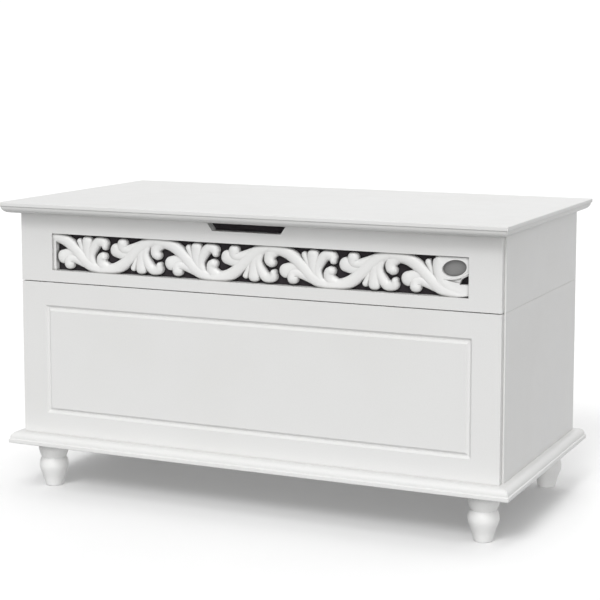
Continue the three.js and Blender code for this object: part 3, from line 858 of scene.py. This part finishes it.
def make_feet():
    """Turned feet: a tapered belly with a round shoulder, and a flared collar above it."""
    belly = [(13, 0), (14.3, 0.8), (14.9, 3), (17, 12), (19.9, 20.5), (22.5, 28), (23.5, 34.5),
             (22.4, 42), (19.7, 47.2)]
    collar = [(19.7, 47.2), (22.6, 54), (24.4, 61), (25, 70), (25, 74.7)]
    profile = [
        (point.x * MM, point.y * MM)
        for part in (curve_through(belly, 6), curve_through(collar, 6)[1:])
        for point in part
    ]
    finish = foot_paint()
    for corner in CORNERS:
        node = f"foot_{corner}"
        piece = turned_upright(f"turned_{node}", node, profile, 96, 30)
        stand_for(piece, node, "white_paint", finish)


# ---- Screws, bolts and bumpers ----

def ridges(radius, low, high, pitch, depth):
    """Radius and height pairs of a threaded stretch, ridge after ridge."""
    count = round((high - low) / pitch)
    profile = []
    for i in range(count):
        height = low + (high - low) * i / count
        profile += [(radius - depth, height), (radius, height + pitch / 2)]
    return [*profile, (radius - depth, high)]


def cross(arm, half_width):
    """Points round a plus sign."""
    w = half_width
    quarter_points = [(arm, -w), (arm, w), (w, w)]
    points = []
    for turn in range(4):
        for a, b in quarter_points:
            for _ in range(turn):
                a, b = -b, a
            points.append((a, b))
    return points


def screw_measures(node, axis):
    """Where the head of a screw that points along an axis starts, its length and head radius."""
    low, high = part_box(node)
    size = high - low
    along = "xyz".index(axis[-1])
    length = size[along]
    head = max(size[i] for i in range(3) if i != along) / 2
    return (low + high) / 2 + AXES[axis](0, 0, -length / 2), length, head


def make_screw(node, axis):
    """A countersunk wood screw with a cross recess. It points along the axis."""
    start, length, head = screw_measures(node, axis)
    core = 0.36 * head
    point = 3 * MM
    profile = [
        (head - 0.25 * MM, 0), (head, 0.2 * MM), (head, 0.45 * MM), (core, 2.2 * MM),
        *ridges(1.3 * core, 3 * MM, length - point, 1.5 * MM, 0.25 * core), (0.2 * MM, length),
    ]
    piece = turned(f"wood_{node}", profile, axis, start, 32, 35)
    recess_start = start + AXES[axis](0, 0, -MM)
    recess = prism("recess", cross(0.6 * head, 0.13 * head), axis, recess_start, 2.1 * MM)
    shaped(piece, [recess], "DIFFERENCE")
    return stand_for(piece, node, "steel")


def make_screws():
    """Every screw, driven the way that its part is fastened."""
    for corner in CORNERS:
        make_screw(f"base_screw_{corner}", "z")
    for side, word in ENDS:
        for number in (1, 2):
            make_screw(f"hinge_body_screw_{word}_{number}", "-y")
            make_screw(f"hinge_lid_screw_{word}_{number}", "z")
            make_screw(f"stay_bracket_screw_{word}_{number}", "z")
            make_screw(f"stay_plate_screw_{word}_{number}", "x" if side > 0 else "-x")


def make_foot_bolts():
    """Threaded dowels that join the feet to the base."""
    chamfer = 1.2 * MM
    for corner in CORNERS:
        node = f"foot_bolt_{corner}"
        low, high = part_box(node)
        radius = (high.x - low.x) / 2
        length = high.z - low.z
        thread = ridges(radius, chamfer, length - chamfer, 1.25 * MM, 0.5 * MM)
        profile = [(radius - chamfer, 0), *thread, (radius - chamfer, length)]
        piece = turned_upright(f"threaded_{node}", node, profile, 32, 25)
        stand_for(piece, node, "steel")


def make_bumpers():
    """Soft discs on the front posts, which the lid closes on."""
    edge = 0.9 * MM
    for _, word in ENDS:
        node = f"lid_bumper_{word}"
        low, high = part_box(node)
        radius = (high.x - low.x) / 2
        rim = high.z - low.z - edge
        profile = [
            (radius, 0), (radius, rim), *arc((radius - edge, rim), (edge, edge), 0, 80, 5),
        ]
        piece = turned_upright(f"pad_{node}", node, profile, 48)
        stand_for(piece, node, "rubber")


# ---- Hinges ----

LEAF_THICKNESS = 2 * MM
LEAF_CORNER = 3 * MM
HINGE_PLAY = 0.4 * MM
KNUCKLE_BORE = 1.9 * MM
MIDDLE_KNUCKLE = 22 * MM
METAL_EDGE = 0.22 * MM


def screw_holes(nodes, axis):
    """Countersunk cutters round screws that point along an axis, a little larger all round."""
    gap = 0.25 * MM
    cutters = []
    for node in nodes:
        start, _, head = screw_measures(node, axis)
        wide, narrow = head + gap, 0.55 * (head + gap)
        profile = [(wide, -MM), (wide, 0.45 * MM), (narrow, 2.1 * MM), (narrow, 4 * MM)]
        cutters.append(turned("countersink", profile, axis, start, 48))
    return cutters


def hinge_knuckle(x_low, length, line, radius):
    """A round length of the hinge's barrel."""
    return rod("knuckle", "x", radius, (x_low, line.y, line.z), length, 48)


def hinge_bore(low, high, line):
    """The cutter for the pin's hole, a little longer than the hinge."""
    length = high.x - low.x + 2 * MM
    return rod("bore", "x", KNUCKLE_BORE, (low.x - MM, line.y, line.z), length, 48)


def make_body_leaf(word, line):
    """The leaf on the back board, with the two outer knuckles."""
    node = f"hinge_body_leaf_{word}"
    low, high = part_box(node)
    radius = high.z - line.z
    clear = radius + HINGE_PLAY
    plate_top = line.z - clear
    overlap = 6 * MM
    corners = rounded_rectangle((low.x, low.z), (high.x, plate_top + overlap), LEAF_CORNER, 6)
    leaf = prism("leaf", corners, "y", (0, low.y, 0), LEAF_THICKNESS)
    trim = block("trim", (low.x - MM, low.y - MM, plate_top), (high.x + MM, high.y, high.z + MM))
    shaped(leaf, [trim], "DIFFERENCE")
    end_length = (high.x - low.x - MIDDLE_KNUCKLE) / 2 - HINGE_PLAY
    parts = []
    for x in (low.x, high.x - end_length):
        parts.append(block(
            "tongue", (x, low.y, plate_top - MM), (x + end_length, low.y + LEAF_THICKNESS, line.z)
        ))
        parts.append(hinge_knuckle(x, end_length, line, radius))
    shaped(leaf, parts, "UNION")
    holes = screw_holes([f"hinge_body_screw_{word}_{number}" for number in (1, 2)], "-y")
    shaped(leaf, [hinge_bore(low, high, line), *holes], "DIFFERENCE")
    leaf.name = f"hinge_back_leaf_{word}"
    stand_for(soften(leaf, METAL_EDGE, 2), node, "steel")


def make_lid_leaf(word, line):
    """The leaf under the lid, with the middle knuckle."""
    node = f"hinge_lid_leaf_{word}"
    low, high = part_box(node)
    radius = line.z - low.z
    clear = radius + HINGE_PLAY
    corners = rounded_rectangle((low.x, line.y + clear), (high.x, high.y), LEAF_CORNER, 6)
    leaf = prism("leaf", corners, "z", (0, 0, high.z - LEAF_THICKNESS), LEAF_THICKNESS)
    middle = (low.x + high.x) / 2
    tongue = block(
        "tongue", (middle - MIDDLE_KNUCKLE / 2, line.y, high.z - LEAF_THICKNESS),
        (middle + MIDDLE_KNUCKLE / 2, line.y + clear + LEAF_CORNER, high.z),
    )
    knuckle = hinge_knuckle(middle - MIDDLE_KNUCKLE / 2, MIDDLE_KNUCKLE, line, radius)
    shaped(leaf, [tongue, knuckle], "UNION")
    holes = screw_holes([f"hinge_lid_screw_{word}_{number}" for number in (1, 2)], "z")
    shaped(leaf, [hinge_bore(low, high, line), *holes], "DIFFERENCE")
    leaf.name = f"hinge_top_leaf_{word}"
    stand_for(soften(leaf, METAL_EDGE, 2), node, "steel")


def make_hinges():
    """Two butt hinges, each with a riveted pin along the hinge line."""
    for _, word in ENDS:
        node = f"hinge_pin_{word}"
        low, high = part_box(node)
        line = (low + high) / 2
        head = (high.z - low.z) / 2
        head_length = 1.2 * MM
        length = high.x - low.x
        dome = arc((0, 0), (head, head_length), 80, 0, 4)
        shank = 1.6 * MM
        profile = [
            *[(r, head_length - h) for r, h in dome], (shank, head_length),
            (shank, length - head_length), *[(r, length - head_length + h) for r, h in dome[::-1]],
        ]
        pin = turned(f"riveted_{node}", profile, "x", (low.x, line.y, line.z), 32, 60)
        stand_for(pin, node, "steel")
        make_body_leaf(word, line)
        make_lid_leaf(word, line)


# ---- Lid stays ----

STAY_THICKNESS = 2 * MM
ARM_HALF_WIDTH = 8 * MM
SLOT_HALF_WIDTH = 3.5 * MM
RIVET_HOLE = 2.9 * MM
STUD_RADIUS = 3 * MM
STUD_HEAD = 5.5 * MM
RIVET_SHANK = 2.5 * MM


def in_plane(point):
    """The Y and Z of a point: a stay lies in a plane across X."""
    return Vector((point[1], point[2]))


def make_stay_arm(word, pivot, stud):
    """The slotted arm. Both its ends are equally far from the hinge line."""
    node = f"stay_arm_{word}"
    low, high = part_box(node)
    hinge = in_plane(JOINT_PLACE["lid_hinge"])
    closed = (pivot - hinge).angle(stud - hinge)
    reach = 2 * (pivot - hinge).length * math.sin((closed + LID_TRAVEL) / 2)
    near = (stud - pivot).length
    along = (stud - pivot).normalized()
    outline = capsule(pivot, pivot + along * (reach + 3 * MM), ARM_HALF_WIDTH, 24)
    slot_start, slot_end = pivot + along * (near - MM), pivot + along * (reach + 0.5 * MM)
    slot = capsule(slot_start, slot_end, SLOT_HALF_WIDTH, 16)
    arm = prism(f"slotted_{node}", outline, "x", (low.x, 0, 0), high.x - low.x)
    start, length = (low.x - MM, 0, 0), high.x - low.x + 2 * MM
    hole = capsule(pivot, pivot, RIVET_HOLE, 16)
    cutters = [prism("slot", ring, "x", start, length) for ring in (slot, hole)]
    shaped(arm, cutters, "DIFFERENCE")
    stand_for(soften(arm, METAL_EDGE, 2), node, "steel")


def make_stay_plate(side, word, stud):
    """The plate on the side board, with the headed stud that the arm slides over."""
    node = f"stay_plate_{word}"
    low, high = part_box(node)
    inward = "-x" if side > 0 else "x"
    outward = "x" if side > 0 else "-x"
    face = high.x if side > 0 else low.x
    reach = Vector((14 * MM, 0))
    width = (high.z - low.z) / 2
    plate = prism(
        f"studded_{node}", capsule(stud - reach, stud + reach, width, 24), inward, (face, 0, 0),
        STAY_THICKNESS,
    )
    total = high.x - low.x
    edge = 0.7 * MM
    profile = [
        (STUD_RADIUS, MM), (STUD_RADIUS, total - STAY_THICKNESS),
        (STUD_HEAD, total - STAY_THICKNESS), (STUD_HEAD, total - edge), (STUD_HEAD - edge, total),
    ]
    knob = turned("stud", profile, inward, (face, *stud), 48)
    shaped(plate, [knob], "UNION")
    nodes = [f"stay_plate_screw_{word}_{number}" for number in (1, 2)]
    shaped(plate, screw_holes(nodes, outward), "DIFFERENCE")
    stand_for(soften(plate, METAL_EDGE, 2), node, "steel")


def make_stay_bracket(side, word, pivot):
    """The angle bracket under the lid that carries the arm."""
    node = f"stay_bracket_{word}"
    low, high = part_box(node)
    inward = "-x" if side > 0 else "x"
    face = high.x if side > 0 else low.x
    radius = pivot.y - low.z
    shoulder = Vector((pivot.x, high.z - radius))
    tab = prism("tab", capsule(shoulder, pivot, radius, 24), inward, (face, 0, 0), STAY_THICKNESS)
    corners = rounded_rectangle((low.x, low.y), (high.x, high.y), 1.5 * MM, 4)
    start = (0, 0, high.z - STAY_THICKNESS)
    flange = prism(f"angled_{node}", corners, "z", start, STAY_THICKNESS)
    shaped(flange, [tab], "UNION")
    hole = rod("hole", inward, RIVET_HOLE, (face + side * MM, *pivot), 4 * MM)
    nodes = [f"stay_bracket_screw_{word}_{number}" for number in (1, 2)]
    shaped(flange, [hole, *screw_holes(nodes, "z")], "DIFFERENCE")
    stand_for(soften(flange, METAL_EDGE, 2), node, "steel")


def make_stay_rivet(side, word, pivot):
    """The rivet that the arm turns on, with a domed head and a flat tail."""
    node = f"stay_rivet_{word}"
    low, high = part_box(node)
    outward = "x" if side > 0 else "-x"
    start = low.x if side > 0 else high.x
    length = high.x - low.x
    head, tail = (4.5 * MM, 1.8 * MM), (4 * MM, 1.2 * MM)
    dome = [
        (head[0] * math.cos(math.radians(a)), head[1] * (1 - math.sin(math.radians(a))))
        for a in (82, 65, 48, 32, 16, 0)
    ]
    edge = 0.4 * MM
    profile = [
        *dome, (RIVET_SHANK, head[1]), (RIVET_SHANK, length - tail[1]),
        (tail[0], length - tail[1]), (tail[0], length - edge), (tail[0] - edge, length),
    ]
    piece = turned(f"domed_{node}", profile, outward, (start, *pivot), 40)
    stand_for(piece, node, "steel")


def make_stays():
    """A slotted stay at each end of the lid."""
    for side, word in ENDS:
        pivot = in_plane(JOINT_PLACE[f"stay_{word}_pivot"])
        plate_low, plate_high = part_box(f"stay_plate_{word}")
        stud = in_plane((plate_low + plate_high) / 2)
        make_stay_arm(word, pivot, stud)
        make_stay_plate(side, word, stud)
        make_stay_bracket(side, word, pivot)
        make_stay_rivet(side, word, pivot)


# ---- Stage ----

def make_floor():
    """A wide pale floor. It shows the bench's shade, and throws no light back at it."""
    half = FLOOR_SIZE / 2
    bm = bmesh.new()
    corners = ((-half, -half, 0), (half, -half, 0), (half, half, 0), (-half, half, 0))
    bm.faces.new([bm.verts.new(corner) for corner in corners])
    floor = piece_of("floor", bm)
    floor.data.materials.append(floor_paper())
    floor.visible_diffuse = False
    floor.visible_shadow = False


def soft_box(tree, view, direction, focus, strength):
    """The glow of one soft box: brightest in its own direction, and less all round it."""
    facing = add_node(tree, "ShaderNodeVectorMath", operation="DOT_PRODUCT")
    facing.inputs[1].default_value = Vector(direction).normalized()
    tree.links.new(view, facing.inputs[0])
    front = add_node(tree, "ShaderNodeMath", operation="MAXIMUM")
    tree.links.new(facing.outputs["Value"], front.inputs[0])
    front.inputs[1].default_value = 0
    glow = add_node(tree, "ShaderNodeMath", operation="POWER")
    tree.links.new(front.outputs[0], glow.inputs[0])
    glow.inputs[1].default_value = focus
    scaled = add_node(tree, "ShaderNodeMath", operation="MULTIPLY")
    tree.links.new(glow.outputs[0], scaled.inputs[0])
    scaled.inputs[1].default_value = strength
    return scaled.outputs[0]


def make_lamp(direction, spread, strength):
    """A lamp far away in a direction: the wider its spread, the softer its shadows."""
    sun = bpy.data.lights.new("lamp", "SUN")
    sun.energy = strength
    sun.angle = spread
    lamp = bpy.data.objects.new("lamp", sun)
    lamp.rotation_mode = "QUATERNION"
    lamp.rotation_quaternion = Vector(direction).to_track_quat("Z", "Y")
    bpy.context.scene.collection.objects.link(lamp)


def make_light():
    """A pale studio: soft boxes that light the bench, and an even white backdrop behind it."""
    for lamp in LAMPS:
        make_lamp(*lamp)
    world = bpy.data.worlds.new("studio")
    world.use_nodes = True
    tree = world.node_tree
    light = tree.nodes["Background"]
    light.inputs["Color"].default_value = (1, 1, 1, 1)
    place = tree.nodes.new("ShaderNodeTexCoord")
    view = add_node(tree, "ShaderNodeVectorMath", operation="NORMALIZE")
    tree.links.new(place.outputs["Generated"], view.inputs[0])
    total = None
    for box in SOFT_BOXES:
        glow = soft_box(tree, view.outputs[0], *box)
        if total:
            together = add_node(tree, "ShaderNodeMath", operation="ADD")
            tree.links.new(total, together.inputs[0])
            tree.links.new(glow, together.inputs[1])
            glow = together.outputs[0]
        total = glow
    tree.links.new(total, light.inputs["Strength"])
    backdrop = add_node(
        tree, "ShaderNodeBackground", Color=(1, 1, 1, 1), Strength=BACKDROP_LIGHT
    )
    path = tree.nodes.new("ShaderNodeLightPath")
    mix = tree.nodes.new("ShaderNodeMixShader")
    tree.links.new(path.outputs["Is Camera Ray"], mix.inputs[0])
    tree.links.new(light.outputs[0], mix.inputs[1])
    tree.links.new(backdrop.outputs[0], mix.inputs[2])
    tree.links.new(mix.outputs[0], tree.nodes["World Output"].inputs["Surface"])
    bpy.context.scene.world = world
    bpy.context.scene.view_settings.view_transform = "Standard"


def make_camera():
    """A long lens that looks slightly down at the front and the right side."""
    camera = bpy.data.objects.new("camera", bpy.data.cameras.new("camera"))
    camera.location = CAMERA_PLACE
    camera.rotation_euler = (math.pi / 2 - CAMERA_PITCH, 0, CAMERA_YAW)
    camera.data.lens = CAMERA_LENS
    camera.data.shift_y = CAMERA_SHIFT_UP
    camera.data.clip_end = 2 * FLOOR_SIZE
    bpy.context.scene.collection.objects.link(camera)
    bpy.context.scene.camera = camera


make_camera()
make_floor()
make_light()
make_lid()
make_base()
make_boards()
make_front()
make_frieze()
make_fretwork()
make_backing()
make_feet()
make_foot_bolts()
make_screws()
make_bumpers()
make_hinges()
make_stays()
